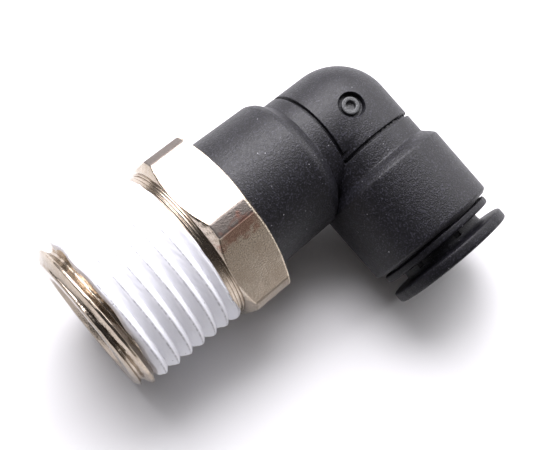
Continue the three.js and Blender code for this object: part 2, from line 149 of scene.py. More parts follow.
PORT_BODY = 9.0
PORT_BODY_R = 8.9
PORT_BODY_SWELL = 0.08            # extra radius where the body begins
PORT_BODY_END = 18.65
PORT_END_CHAMFER = (0.35, 0.5)    # length and radius lost
PASSAGE_R = 4.3
TUBE_STOP = 4.8
TUBE_SEAT_R = 5.2
CHAMBER_START = 9.3
CHAMBER_R = 7.2
GATE_R = 1.62
GATE_DEPTH = 1.0
GATE_RIM = 0.28                   # depth of the recess's flared rim
GATE_FLARE = 0.3                  # radius gained along it
GATE_STUB_R = 1.22
GATE_STUB_DEPTH = 0.5             # of the stub's top, below the corner's surface
GATE_HOLE_R = 0.62
GATE_COLUMNS = 48

# ---- Sizes of the pieces in the port ----
TUBE_R = 5.0
RING_R = 6.9                      # outside of the rings in the chamber
SEAL_START, SEAL_END = 9.6, 12.0
RETAINER_START, RETAINER_END = 12.3, 14.0
RIM_START, RIM_END = 14.3, 14.8
RIM_INNER_R = 6.45
CLAW_HINGE_R = 6.15
CLAW_TIP_R = 4.95
CLAW_DROP = 0.8
CLAW_THICKNESS = 0.3
CLAW_HALF_ANGLE = 13
GUIDE_START, GUIDE_END = 15.1, 19.9
GUIDE_CATCH = 17.3
GUIDE_CATCH_R = 6.55
GUIDE_INNER_R = 6.1
LIP_START = 18.95
LIP_R = 8.05
BUSH_START = 14.9
BUSH_INNER_R = 5.2
BUSH_R = 5.8
BUSH_NOSE = 0.8                   # length of its tapered inner end
BARB_R = 6.25
BARB_START = 16.2
BARB_END = GUIDE_CATCH - 0.3
FLANGE_START, FLANGE_END = 21.35, 22.8
FLANGE_R = 8.55
FLANGE_RIM = 0.8                  # its dents reach this far in
FLANGE_COLUMNS = 200
SLIT_COUNT = 6
SLIT_WIDTH = 0.9
SLIT_END = 20.7

COLUMNS = 160                     # steps round the elbow and its turned pieces
CORNER_STEPS = 24                 # steps along the elbow's corner
INNER_COLUMNS = 96                # steps round the small pieces inside
SHARP_ANGLE = 35                  # edges sharper than this stay hard


# ---- Meshes ----
def rounded(outline, closed=True):
    """Rounds an outline's corners with arcs. Each point is (along, radius, corner radius)."""
    points = []
    count = len(outline)
    for i, (along, radius, corner) in enumerate(outline):
        here = Vector((along, radius))
        at_end = not closed and i in (0, count - 1)
        if at_end or corner <= 0:
            points.append(here)
            continue
        before = Vector(outline[i - 1][:2]) - here
        after = Vector(outline[(i + 1) % count][:2]) - here
        turn = math.pi - before.angle(after)
        reach = min(corner * math.tan(turn / 2), 0.48 * before.length, 0.48 * after.length)
        start = here + before.normalized() * reach
        end = here + after.normalized() * reach
        steps = max(2, math.ceil(math.degrees(turn) / 15))
        for step in range(steps + 1):
            t = step / steps
            points.append((1 - t) ** 2 * start + 2 * t * (1 - t) * here + t ** 2 * end)
    return np.array([(p.x, p.y) for p in points])


def stud_points(along, radius, angle):
    """Points from the place along the stud, the radius and the angle round it, in radians."""
    along, radius, angle = np.broadcast_arrays(along, radius, angle)
    return np.stack([along, -radius * np.cos(angle), radius * np.sin(angle)], axis=-1)


def port_points(along, radius, angle):
    """The same round the port's axis, where angle 0 faces the sleeve."""
    along, radius, angle = np.broadcast_arrays(along, radius, angle)
    return np.stack([PORT_X - radius * np.cos(angle), -along, radius * np.sin(angle)], axis=-1)


def around(columns):
    """Angles of the columns round an axis, in radians."""
    return 2 * np.pi * np.arange(columns) / columns


def turned(profile, columns):
    """A grid of points: the profile turned about the port's axis."""
    return port_points(profile[:, :1], profile[:, 1:], around(columns)[None, :])


def new_object(name, data):
    """An object in the scene."""
    obj = bpy.data.objects.new(name, data)
    bpy.context.scene.collection.objects.link(obj)
    return obj


def mesh_object(name, points, faces, on_elbow=True, sharp=SHARP_ANGLE):
    """A mesh object from points in the stud's axes, or in the elbow's."""
    turn = Matrix.Rotation(PORT_TILT if on_elbow else 0.0, 3, "X")
    placed = points @ np.array(turn).T + np.array(STUD_ORIGIN)
    mesh = bpy.data.meshes.new(name)
    mesh.from_pydata((placed * MM).tolist(), [], faces)
    edit = bmesh.new()
    edit.from_mesh(mesh)
    bmesh.ops.remove_doubles(edit, verts=edit.verts, dist=1e-4 * MM)
    bmesh.ops.recalc_face_normals(edit, faces=edit.faces)
    edit.to_mesh(mesh)
    edit.free()
    smooth(mesh, sharp)
    return new_object(name, mesh)


def grid_object(name, grid, on_elbow=True, ring=True, sharp=SHARP_ANGLE):
    """A mesh object from a grid of points whose columns wrap round. A ring's rows wrap round too."""
    rows, columns, _ = grid.shape
    faces = []
    for row in range(rows if ring else rows - 1):
        here, there = row * columns, (row + 1) % rows * columns
        for column in range(columns):
            beside = (column + 1) % columns
            faces.append((here + column, here + beside, there + beside, there + column))
    return mesh_object(name, grid.reshape(-1, 3), faces, on_elbow, sharp)


def block_object(name, corners):
    """A closed block from its eight corners: four round one end, then the other four."""
    sides = [(i, (i + 1) % 4, (i + 1) % 4 + 4, i + 4) for i in range(4)]
    return mesh_object(name, corners, [(0, 1, 2, 3), (4, 5, 6, 7), *sides])


def smooth(mesh, sharp):
    """Shades a mesh smooth, apart from its edges sharper than an angle in degrees."""
    mesh.shade_smooth()
    mesh.set_sharp_from_angle(angle=math.radians(sharp))


def cut(obj, *tools):
    """Cuts closed meshes out of obj and removes them."""
    for tool in tools:
        boolean = obj.modifiers.new(tool.name, "BOOLEAN")
        boolean.operation = "DIFFERENCE"
        boolean.solver = "EXACT"
        boolean.object = tool
    graph = bpy.context.evaluated_depsgraph_get()
    mesh = bpy.data.meshes.new_from_object(obj.evaluated_get(graph))
    obj.modifiers.clear()
    obj.data = mesh
    smooth(mesh, SHARP_ANGLE)
    for tool in tools:
        bpy.data.objects.remove(tool)


def finish_piece(obj, body, slot, material, *nodes):
    """Gives a piece its material and body, and hides the CAD nodes that it stands in for. Its slot is not
    used.
    """
    obj.data.materials.clear()
    obj.data.materials.append(material)
    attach(obj, body)
    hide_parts(*nodes)


# ---- Smooth shapes made of numbers ----
def soft_min(a, b, softness):
    """The smaller of two numbers, blended where they are within softness of each other."""
    share = np.clip(0.5 + 0.5 * (b - a) / softness, 0, 1)
    return b + (a - b) * share - softness * share * (1 - share)


def soft_max(a, b, softness):
    """The larger of two numbers, blended in the same way."""
    return -soft_min(-a, -b, softness)


def smooth_step(low, high, value):
    """From 0 at low to 1 at high, without a corner at either."""
    t = np.clip((value - low) / (high - low), 0, 1)
    return t * t * (3 - 2 * t)


def lumps(angle, along, seed, spread=9, per_mm=1.2):
    """Gentle bumps over a turned surface, about -1 to 1: a sum of waves that close round the axis.

    A wave goes up and down at most spread times a turn, and per_mm times a millimetre."""
    waves = 24
    random = np.random.default_rng(seed)
    total = 0
    for _ in range(waves):
        turns = random.integers(0, spread + 1)
        rate = random.uniform(-per_mm, per_mm)
        total = total + np.sin(turns * angle + 2 * np.pi * rate * along + random.uniform(0, 2 * np.pi))
    return total / math.sqrt(waves)


# ---- The stud ----
def crest_radius(x):
    """Radius of the taper thread's crests."""
    return TIP_CREST_R + (x - TIP_X) * TAPER


def past_crest(x, angle):
    """How far a place on the thread is past a crest, towards the hexagon, in pitches, from 0 to 1."""
    return ((x - FIRST_CREST_X) / PITCH + angle / (2 * np.pi)) % 1


def from_crest(x, angle):
    """How far a place on the thread is from the nearest crest, in pitches, from 0 to 0.5."""
    past = past_crest(x, angle)
    return np.minimum(past, 1 - past)


def bare_thread_radius(x, angle):
    """Radius of the nickel thread, with its dents and the chamfer at the tip."""
    flank = (from_crest(x, angle) - THREAD_CREST_HALF) / THREAD_FLANK
    flank = soft_min(soft_max(flank, 0.0, THREAD_ROUNDING), 1.0, THREAD_ROUNDING)
    dents = THREAD_DENTS * lumps(angle, x, seed=6, spread=40, per_mm=0.9)
    thread = crest_radius(x) - THREAD_DEPTH * flank + dents
    chamfer = TIP_CHAMFER_R + (x - TIP_X) * TIP_CHAMFER_SLOPE
    return soft_min(thread, chamfer, TIP_CHAMFER_ROUNDING)


def hexagon_radius(x, angle):
    """Radius of the hexagon: six flats, cut by a round cylinder and by a chamfer on each side."""
    sector = np.radians(60)
    off_flat = (angle - np.radians(HEX_CORNER_ANGLE)) % sector - sector / 2
    flat = HEX_ACROSS_FLATS / 2 / np.cos(off_flat)
    rise = HEX_CORNER_R - HEX_FACE_R
    nicks = EDGE_NICKS * lumps(angle, x, seed=12, spread=90, per_mm=1.0)
    thread_side = HEX_FACE_R + x * rise / THREAD_SIDE_CHAMFER + nicks
    body_side = HEX_FACE_R + (HEX_LENGTH - x) * rise / BODY_SIDE_CHAMFER + nicks
    radius = soft_min(flat, HEX_CORNER_R, HEX_EDGE_SOFTNESS)
    radius = soft_min(radius, thread_side, THREAD_SIDE_SOFTNESS)
    return soft_min(radius, body_side, BODY_SIDE_SOFTNESS)


def hexagon_angles():
    """Steps round the stud, closer together at the hexagon's corners."""
    coarse_end, coarse_step, fine_step = 21, 2, 0.45
    coarse = np.arange(-coarse_end, coarse_end + 0.1, coarse_step)
    fine = np.arange(coarse_end + fine_step, 30, fine_step)
    sector = np.concatenate([-fine[::-1], coarse, fine])
    steps = [sector + HEX_CORNER_ANGLE + 30 + 60 * i for i in range(6)]
    return np.radians(np.concatenate(steps))


def neck_profile():
    """The thread fades out on the neck in low ridges, before a narrow groove beside the hexagon."""
    groove_half, ridge_round = 0.11, 0.07
    ridges = np.linspace(NECK_START_X, NECK_GROOVE_X - groove_half, 2 * NECK_RIDGES + 1)
    return rounded([
        (NECK_START_X, crest_radius(NECK_START_X) - CORE_DEPTH, 0),
        *((x, NECK_R - (i % 2) * NECK_RIDGE_DEPTH, ridge_round) for i, x in enumerate(ridges)),
        (NECK_GROOVE_X - groove_half, NECK_GROOVE_R, 0.05),
        (NECK_GROOVE_X + groove_half, NECK_GROOVE_R, 0.05),
        (NECK_GROOVE_X + groove_half, NECK_R, 0.1),
        (0, NECK_R, 0),
    ], closed=False)


def groove(middle, half, surface_r, floor_r, floor_round=0.05, edge_round=0.05):
    """The points of a groove in a turned piece's outline, as rounded() takes them."""
    return [
        (middle - half, surface_r, edge_round),
        (middle - half, floor_r, floor_round),
        (middle + half, floor_r, floor_round),
        (middle + half, surface_r, edge_round),
    ]


def stem_profile():
    """The stem with its two grooves, its end, and the bore back to the thread's tip."""
    return rounded([
        (HEX_LENGTH, STEM_R, 0.2),
        *groove(SNAP_RING_X, SNAP_GROOVE_HALF, STEM_R, SNAP_GROOVE_R),
        *groove(O_RING_X, O_RING_GROOVE_HALF, STEM_R, O_RING_GROOVE_R, 0.1),
        (STEM_END_X, STEM_R, 0.4),
        (STEM_END_X, STEM_BORE_R, 0.3),
        (BORE_STEP_X + BORE_R - STEM_BORE_R, STEM_BORE_R, 0.1),
        (BORE_STEP_X, BORE_R, 0.1),
        (TIP_X + BORE_CHAMFER, BORE_R, 0.1),
        (TIP_X, BORE_R + BORE_CHAMFER, 0.12),
        (TIP_X, TIP_CHAMFER_R - 0.1, 0),
    ], closed=False)


def make_stud(material):
    """The thread up to just inside the coat, a plain core under it, the neck, the hexagon and the stem."""
    angles = hexagon_angles()[None, :]
    under_coat, thread_step = 0.7, 0.045
    thread_x = np.arange(TIP_X, COAT_START_X + under_coat, thread_step)[:, None]
    hexagon_x = np.concatenate([  # closer together at the chamfers
        np.arange(0.05, 1.1, 0.06),
        np.arange(1.3, 5.7, 0.4),
        np.arange(5.78, HEX_LENGTH, 0.05),
    ])[:, None]
    core_x = thread_x[-1, 0]
    core = np.array([[core_x, crest_radius(core_x) - CORE_DEPTH]])
    inset = 0.04                  # rounds the edges of the hexagon's two faces
    faces = [
        stud_points(np.array([[x]]), hexagon_radius(x, angles) - inset, angles)
        for x in (0.0, HEX_LENGTH)
    ]

    def plain(profile):
        return stud_points(profile[:, :1], profile[:, 1:], angles)

    grid = np.concatenate([
        stud_points(thread_x, bare_thread_radius(thread_x, angles), angles),
        plain(core),
        plain(neck_profile()),
        faces[0],
        stud_points(hexagon_x, hexagon_radius(hexagon_x, angles), angles),
        faces[1],
        plain(stem_profile()),
    ])
    stud = grid_object("threaded_stud_fine", grid, on_elbow=False)
    finish_piece(stud, "stud", "nickel_plate", material, "threaded_stud")


# ---- The sealant on the thread ----
COAT_OVER_CREST = 0.1
COAT_VALLEY = 0.62                # depth of the coated thread's valleys
COAT_VALLEY_PLACE = 0.33          # pitches from a crest to the valley on its hexagon side
COAT_CREST_SHARE = 0.14           # share of each flank that the crest takes up
COAT_CREST_ROUNDING = 0.26
COAT_WORN_PLACE = 0.065           # pitches from a crest to its worn line, on its tip side
COAT_WORN_WIDTH = 0.06
COAT_FEATHER = 0.3                # length over which its edges thin out
COAT_BURIED = 0.04                # how far its thin edges dip into the nickel
COAT_START_RAGGED = 0.12
COAT_END_RAGGED = 0.04
COAT_RUNOUT = 1.2                 # the valleys get shallower over this length, near the neck
COAT_RUNOUT_SHARE = 0.15          # what is left of the valleys' depth at the end
COAT_COLUMNS = 300
COAT_ROWS = 210
COAT_INNER_STEP = 6               # the hidden inner side has one row for this many outer rows
COAT_OVER_NECK = 0.6              # how far a tongue of it runs over the neck
COAT_TONGUE_ANGLE = -14


def coat_depth(x, angle):
    """From 0 on a crest of the coat to 1 in a valley, which lies nearer the crest on its tip side."""
    past = past_crest(x, angle)
    towards_hexagon = past / COAT_VALLEY_PLACE
    towards_tip = (1 - past) / (1 - COAT_VALLEY_PLACE)
    share = np.minimum(towards_hexagon, towards_tip)
    return soft_max((share - COAT_CREST_SHARE) / (1 - COAT_CREST_SHARE), 0.0, COAT_CREST_ROUNDING)


def coat_radius(x, angle):
    """The coat follows the thread with rounded crests, straight flanks and sharp valleys."""
    along = smooth_step(COAT_END_X + 0.1, COAT_END_X - COAT_RUNOUT, x)
    valley = COAT_VALLEY * (COAT_RUNOUT_SHARE + (1 - COAT_RUNOUT_SHARE) * along)
    uneven = 0.018 * lumps(angle, x, seed=4) + 0.012 * lumps(angle, x, seed=9, spread=40, per_mm=2.5)
    return crest_radius(x) + COAT_OVER_CREST - valley * coat_depth(x, angle) + uneven


def mark_worn_crests(mesh):
    """Stores 1 along a thin line beside each crest, where the coat is worn through, and 0 elsewhere."""
    points = np.array([point.co for point in mesh.vertices]) / MM - np.array(STUD_ORIGIN)
    angle = np.arctan2(points[:, 2], -points[:, 1])
    beside = from_crest(points[:, 0] + COAT_WORN_PLACE * PITCH, angle)
    worn = np.exp(-(beside / COAT_WORN_WIDTH) ** 2)
    mesh.attributes.new("worn", "FLOAT", "POINT").data.foreach_set("value", worn.astype(np.float32))


def metal_radius(x, angle):
    """Radius of the nickel under the coat."""
    return np.where(x < NECK_START_X, bare_thread_radius(x, angle), NECK_R)


def make_sealant(material):
    """The coat has ragged ends. Its inner side is just off the core, and in the metal at the ends."""
    angles = around(COAT_COLUMNS)[None, :]
    start_lumps = lumps(angles, 0.0, seed=2, spread=14)
    end_lumps = lumps(angles, 0.0, seed=3, spread=20)
    tongue = smooth_step(0.80, 0.98, np.cos(angles - np.radians(COAT_TONGUE_ANGLE)))
    start = COAT_START_X - 0.1 + COAT_START_RAGGED * start_lumps
    end = COAT_END_X - 0.05 + COAT_END_RAGGED * end_lumps + COAT_OVER_NECK * tongue
    x = start + (end - start) * np.linspace(0, 1, COAT_ROWS)[:, None]
    in_from_start = smooth_step(0, COAT_FEATHER, x - start)
    in_from_end = smooth_step(0, COAT_FEATHER, end - x)
    buried = metal_radius(x, angles) - COAT_BURIED
    outer = buried + (coat_radius(x, angles) - buried) * in_from_start * in_from_end
    inner_x = x[::-COAT_INNER_STEP]
    in_metal, thinnest, off_core = 0.06, 0.02, 0.1
    in_nickel = metal_radius(inner_x, angles) - in_metal
    hugging = np.minimum(in_nickel, outer[::-COAT_INNER_STEP] - thinnest)
    core = crest_radius(inner_x) - CORE_DEPTH + off_core
    over_core = (inner_x > COAT_START_X + 0.8) & (inner_x < NECK_START_X - 0.1)
    inner = np.where(over_core, core, hugging)
    grid = np.concatenate([stud_points(x, outer, angles), stud_points(inner_x, inner, angles)])
    coat = grid_object("thread_sealant_coat", grid, on_elbow=False, sharp=60)
    mark_worn_crests(coat.data)
    finish_piece(coat, "stud", "sealant", material, "thread_sealant")


# ---- The elbow's two arms ----
def moulding_groove():
    """The groove round each arm, measured from where the two axes cross."""
    return groove(GROOVE, GROOVE_HALF, COLLAR_R, COLLAR_R - GROOVE_DEPTH, 0.1, edge_round=0.12)


def sleeve_profile():
    """Distance from the port's axis back along the sleeve, and radius, from the sleeve's open end."""
    far = PORT_X - SLEEVE_START_X
    shoulder = PORT_X - SHOULDER_X
    return rounded([
        (far, SLEEVE_BORE_R, 0),
        (far, SLEEVE_START_R, 0.18),
        (shoulder, SLEEVE_SHOULDER_R, 0.9),
        (shoulder - SHOULDER_ROUND, SLEEVE_SHOULDER_R - SHOULDER_DROP, 0.9),
        (PORT_X - SHOULDER_END_X, COLLAR_R, 0.25),
        *moulding_groove()[::-1],
        (0, COLLAR_R, 0),
    ], closed=False)


def port_profile():
    """Distance along the port and radius, from the stud's axis to the port's open end."""
    return rounded([
        (0, COLLAR_R, 0),
        *moulding_groove(),
        (PORT_STEP, COLLAR_R, 0.3),
        (PORT_STEP + PORT_STEP_LENGTH, PORT_STEP_END_R, 0.5),
        (PORT_BODY, PORT_BODY_R + PORT_BODY_SWELL, 0.5),
        (PORT_BODY_END - PORT_END_CHAMFER[0], PORT_BODY_R, 0.3),
        (PORT_BODY_END, PORT_BODY_R - PORT_END_CHAMFER[1], 0.2),
        (PORT_BODY_END, CHAMBER_R, 0),
    ], closed=False)


def sleeve_bore_profile():
    """The same along the inside of the sleeve, with the snap ring's groove."""
    far = PORT_X - SLEEVE_START_X
    bore_end = PORT_X - SLEEVE_BORE_END_X
    snap_groove = groove(PORT_X - SNAP_RING_X, SNAP_GROOVE_HALF, SLEEVE_BORE_R, SNAP_SEAT_R)
    return rounded([
        (far, SLEEVE_BORE_R, 0),
        *snap_groove[::-1],
        (bore_end, SLEEVE_BORE_R, 0.15),
        (bore_end, PASSAGE_R, 0.3),
        (0, PASSAGE_R, 0),
    ], closed=False)


def port_bore_profile():
    """The same along the inside of the port: the passage, the tube's seat and the chamber."""
    return rounded([
        (0, PASSAGE_R, 0),
        (TUBE_STOP, PASSAGE_R, 0.2),
        (TUBE_STOP, TUBE_SEAT_R, 0.1),
        (CHAMBER_START, TUBE_SEAT_R, 0.25),
        (CHAMBER_START, CHAMBER_R, 0.15),
        (PORT_BODY_END, CHAMBER_R, 0),
    ], closed=False)


def radius_at(profile, place):
    """The radius of an outline at a place along it."""
    order = np.argsort(profile[:, 0], kind="stable")
    return np.interp(place, profile[order, 0], profile[order, 1])


def meeting_place(sleeve, port, angle):
    """Where a line along the sleeve, at an angle round it, runs into the port: (back, out, height)."""
    def hit(back):
        radius = radius_at(sleeve, back)
        out, height = radius * np.cos(angle), radius * np.sin(angle)
        return out >= 0 and back * back + height * height < radius_at(port, out) ** 2

    step = 0.02
    back = 12.0                   # clear of the port's body
    while back > 0 and not hit(back):
        back -= step
    low, high = max(back, 0.0), back + step
    halvings = 20
    for _ in range(halvings):
        middle = (low + high) / 2
        low, high = (middle, high) if hit(middle) else (low, middle)
    radius = radius_at(sleeve, high)
    return high, radius * math.cos(angle), radius * math.sin(angle)


def bent_tube(sleeve, port, corner_radius):
    """Rows of points along the sleeve, round the corner and out along the port.

    Columns on the inner side of the bend stop at the crease where the two arms meet.
    Columns on its outer side go over a quarter of a ball."""
    turn = np.linspace(0, np.pi / 2, CORNER_STEPS + 1)[1:-1]
    grid = []
    for angle in around(COLUMNS) + np.pi / COLUMNS:
        if math.cos(angle) > 0:
            back, out, height = meeting_place(sleeve, port, angle)
            crease = np.array([PORT_X - back, -out, height])
            port_angle = math.atan2(height, back)
            corner = np.repeat(crease[None, :], len(turn), axis=0)
        else:
            back, out, crease = 0.0, 0.0, None
            port_angle = angle
            reach = -corner_radius * math.cos(angle)
            height = np.full(len(turn), corner_radius * math.sin(angle))
            corner = np.stack([PORT_X + reach * np.sin(turn), reach * np.cos(turn), height], axis=-1)
        along_sleeve = stud_points(PORT_X - sleeve[:, 0], sleeve[:, 1], angle)
        along_port = port_points(port[:, 0], port[:, 1], port_angle)
        if crease is not None:
            along_sleeve[sleeve[:, 0] < back] = crease
            along_port[port[:, 0] < out] = crease
        grid.append(np.concatenate([along_sleeve, corner, along_port]))
    return np.stack(grid, axis=1)


def soften_crease(grid, sleeve, port):
    """Rounds the crease between the two arms, from the corner to the moulding grooves."""
    def inside(points):
        """How deep points lie inside the two arms, where negative is outside."""
        back, out, height = PORT_X - points[..., 0], -points[..., 1], points[..., 2]
        ball = COLLAR_R - np.sqrt(back ** 2 + out ** 2 + height ** 2)
        in_sleeve = np.where(back >= 0, radius_at(sleeve, back) - np.hypot(out, height), ball)
        in_port = np.where(out >= 0, radius_at(port, out) - np.hypot(back, height), ball)
        near, far = np.minimum(back, out), np.maximum(back, out)
        softness = CREASE_SOFTNESS * smooth_step(0, CREASE_FADE_IN, near)
        softness = softness * smooth_step(GROOVE - GROOVE_HALF, GROOVE - CREASE_FADE_OUT, far)
        return soft_max(in_sleeve, in_port, softness + 1e-6)

    rounds, tiny = 6, 1e-4
    for _ in range(rounds):
        depth = inside(grid)[..., None]
        slope = np.stack([inside(grid + step) - depth[..., 0] for step in np.eye(3) * tiny], axis=-1)
        grid = grid - depth * slope / np.maximum(np.linalg.norm(slope, axis=-1, keepdims=True), 1e-9)
    return grid


def dense(profile):
    """Adds points to an outline's long straight runs."""
    step = 0.5
    points = [profile[0]]
    for end in profile[1:]:
        start = points[-1]
        count = max(1, math.ceil(np.hypot(*(end - start)) / step))
        points.extend(start + (end - start) * i / count for i in range(1, count + 1))
    return np.array(points)


def gate_tool():
    """What is cut away at the moulding gate: a round recess, around a broken-off stub with a hole."""
    floor = COLLAR_R - GATE_DEPTH
    hole_floor = floor - 0.1
    stub_top = COLLAR_R - GATE_STUB_DEPTH
    above = COLLAR_R + 1
    recess = rounded([
        (floor, GATE_STUB_R - 0.1, 0),
        (floor, GATE_R, 0.2),
        (COLLAR_R - GATE_RIM, GATE_R, 0.15),
        (COLLAR_R + 0.1, GATE_R + GATE_FLARE, 0),
        (above, GATE_R + GATE_FLARE, 0),
        (above, 0, 0),
        (hole_floor, 0, 0),
        (hole_floor, GATE_HOLE_R, 0.1),
        (stub_top, GATE_HOLE_R, 0.15),
        (stub_top, GATE_STUB_R, 0.2),
    ])
    angle = around(GATE_COLUMNS)[None, :]
    along, radius = recess[:, :1], recess[:, 1:]
    grid = np.stack(np.broadcast_arrays(
        PORT_X + radius * np.cos(angle), radius * np.sin(angle), along + 0 * angle,
    ), axis=-1)
    return grid_object("gate_recess_cut", grid)


def make_elbow(material):
    """The elbow: a bent outside, softened in the crease, and a bent inside, joined at both ends."""
    sleeve, port = dense(sleeve_profile()), dense(port_profile())
    outside = bent_tube(sleeve, port, COLLAR_R)
    near_corner = (outside[..., 0] > PORT_X - GROOVE) & (outside[..., 1] > -GROOVE)
    outside[near_corner] = soften_crease(outside[near_corner], sleeve, port)
    inside = bent_tube(sleeve_bore_profile(), port_bore_profile(), PASSAGE_R)
    elbow = grid_object("elbow_body_fine", np.concatenate([outside, inside[::-1]]))
    cut(elbow, gate_tool())
    finish_piece(elbow, "elbow", "black_plastic", material, "elbow_body")


# ---- Rings in the port ----
def make_ring(node, slot, material, columns, outline):
    """A ring on the elbow from its outline, as rounded() takes it."""
    ring = grid_object(f"{node}_fine", turned(rounded(outline), columns))
    finish_piece(ring, "elbow", slot, material, node)


def make_guide_ring(material):
    """The ring pressed into the port's end, with a lip outside and a catch for the bush inside."""
    make_ring("port_guide_ring", "black_plastic", material, COLUMNS, [
        (GUIDE_START, GUIDE_CATCH_R, 0.05),
        (GUIDE_START, RING_R, 0.1),
        (LIP_START, RING_R, 0.05),
        (LIP_START, LIP_R, 0.25),
        (GUIDE_END, LIP_R, 0.35),
        (GUIDE_END, GUIDE_INNER_R, 0.25),
        (GUIDE_CATCH, GUIDE_INNER_R, 0.08),
        (GUIDE_CATCH, GUIDE_CATCH_R, 0.08),
    ])


def flange_nicks(angle):
    """Small dents in the flange's rim: (place round it, width, depth)."""
    nicks = [(-38, 3.0, 0.10), (-27, 2.0, 0.06), (12, 2.5, 0.05), (118, 3.0, 0.05), (205, 2.0, 0.06)]
    depth = 0
    for place, width, dent in nicks:
        off = (np.degrees(angle) - place + 180) % 360 - 180
        depth = depth + dent * np.exp(-(off / width) ** 2)
    return depth


def slit_tools():
    """A block for each slit, through the bush's wall from its inner end to under the flange."""
    inner, outer = 3.0, 8.0
    start = BUSH_START - 1
    half = SLIT_WIDTH / 2
    ends = np.array([start, start, SLIT_END, SLIT_END])
    across = np.array([-half, half, half, -half])
    for i in range(SLIT_COUNT):
        middle = 2 * np.pi * (i + 0.5) / SLIT_COUNT
        corners = np.concatenate([
            np.stack([
                PORT_X - reach * np.cos(middle) + across * np.sin(middle),
                -ends,
                reach * np.sin(middle) + across * np.cos(middle),
            ], axis=-1)
            for reach in (inner, outer)
        ])
        yield block_object(f"slit_cut_{i}", corners)


def make_release_ring(material):
    """The release bush: a slit sleeve with a barb inside the guide ring, and a flange outside."""
    outline = rounded([
        (BUSH_START, BUSH_INNER_R, 0.05),
        (BUSH_START, BUSH_INNER_R + 0.2, 0.08),
        (BUSH_START + BUSH_NOSE, BUSH_R, 0.1),
        (BARB_START, BUSH_R, 0.05),
        (BARB_START + 0.4, BARB_R, 0.08),
        (BARB_END, BARB_R, 0.05),
        (BARB_END, BUSH_R, 0.05),
        (FLANGE_START, BUSH_R, 0.9),
        (FLANGE_START, FLANGE_R, 0.35),
        (FLANGE_END, FLANGE_R, 0.45),
        (FLANGE_END, BUSH_INNER_R, 0.55),
    ])
    angle = around(FLANGE_COLUMNS)[None, :]
    along, radius = outline[:, :1], outline[:, 1:]
    rim = smooth_step(FLANGE_R - FLANGE_RIM, FLANGE_R, radius)
    grid = port_points(along, radius - rim * flange_nicks(angle), angle)
    ring = grid_object("release_ring_fine", grid)
    cut(ring, *slit_tools())
    finish_piece(ring, "release", "black_plastic", material, "release_ring")


def make_seal(material):
    """The rubber ring that seals on the tube with its inner lip."""
    make_ring("tube_seal", "rubber", material, INNER_COLUMNS, [
        (SEAL_START, TUBE_R + 0.45, 0.1),
        (SEAL_START, RING_R, 0.2),
        (SEAL_END, RING_R, 0.2),
        (SEAL_END, TUBE_R + 0.6, 0.1),
        (SEAL_END - 0.5, TUBE_R - 0.15, 0.2),
        (SEAL_END - 1.0, TUBE_R + 0.2, 0.2),
    ])


def make_retainer(material):
    """The pale ring that holds the seal, with a step that the claws bend into."""
    floor = RETAINER_START + 0.65
    make_ring("seal_retainer", "acetal", material, INNER_COLUMNS, [
        (RETAINER_START, TUBE_R + 0.4, 0.1),
        (RETAINER_START, RING_R, 0.1),
        (RETAINER_END, RING_R, 0.1),
        (RETAINER_END, RIM_INNER_R, 0.08),
        (floor, RIM_INNER_R, 0.08),
        (floor, TUBE_R + 0.4, 0.1),
    ])


def make_claw_rim(material):
    """The flat steel ring that the claws spring from."""
    make_ring("claw_ring_rim", "stainless", material, INNER_COLUMNS, [
        (RIM_START, RIM_INNER_R, 0.08),
        (RIM_START, RING_R, 0.08),
        (RIM_END, RING_R, 0.08),
        (RIM_END, RIM_INNER_R, 0.08),
    ])


def make_claw(number, count, material):
    """A thin curved leaf from its root at the rim down to the tube's surface."""
    middle = 2 * np.pi * (number - 1) / count
    narrowing = 0.12
    share = np.linspace(0, 1, 7)[:, None]
    across = np.linspace(-1, 1, 9)[None, :]
    half = np.radians(CLAW_HALF_ANGLE) * (1 - narrowing * share)
    radius = CLAW_HINGE_R + (CLAW_TIP_R - CLAW_HINGE_R) * share
    place = (RIM_START + RIM_END) / 2 - CLAW_DROP * share
    angle = middle + half * across
    slope = math.hypot(CLAW_HINGE_R - CLAW_TIP_R, CLAW_DROP)
    lift = np.array([(CLAW_HINGE_R - CLAW_TIP_R) / slope, CLAW_DROP / slope]) * CLAW_THICKNESS / 2
    # Angle 0 of a claw faces away from the sleeve.
    top = port_points(place + lift[0], radius - lift[1], np.pi - angle)
    under = port_points(place - lift[0], radius + lift[1], np.pi - angle)
    rows = [np.concatenate([top[i], under[i][::-1]]) for i in range(len(share))]
    ends = [np.tile(((top[i] + under[i]) / 2).mean(axis=0), (len(rows[0]), 1)) for i in (0, -1)]
    grid = np.stack([ends[0], *rows, ends[1]])
    claw = grid_object(f"grip_claw_{number}_fine", grid, ring=False)
    finish_piece(claw, f"claw_{number}", "stainless", material, f"grip_claw_{number}")


# ---- Materials ----
STAIN_STRETCH = (0.45, 1.0, 1.0)  # the stain on the hexagon is longest along the stud
STAIN_PLACE = (3.6 * STAIN_STRETCH[0], -5.3, 10.45)
STAIN_R = 1.25


def add(tree, kind, inputs=(), **settings):
    """Adds a shader node. An input is a number, a colour or another node's output."""
    made = tree.nodes.new("ShaderNode" + kind)
    for key, value in settings.items():
        setattr(made, key, value)
    for key, value in dict(inputs).items():
        if isinstance(value, bpy.types.NodeSocket):
            tree.links.new(value, made.inputs[key])
        else:
            made.inputs[key].default_value = value
    return made


def new_material(name, **sockets):
    """A material, its tree, its shader and the place on the object in millimetres.

    The sockets are numbers and colours that are the same all over."""
    material = bpy.data.materials.new(name)
    material.use_nodes = True
    tree = material.node_tree
    shader = tree.nodes["Principled BSDF"]
    for socket, value in sockets.items():
        shader.inputs[socket.replace("_", " ")].default_value = value
    coordinates = add(tree, "TexCoord").outputs["Object"]
    place = vector(tree, "MULTIPLY", coordinates, (1 / MM,) * 3)
    return material, tree, shader, place


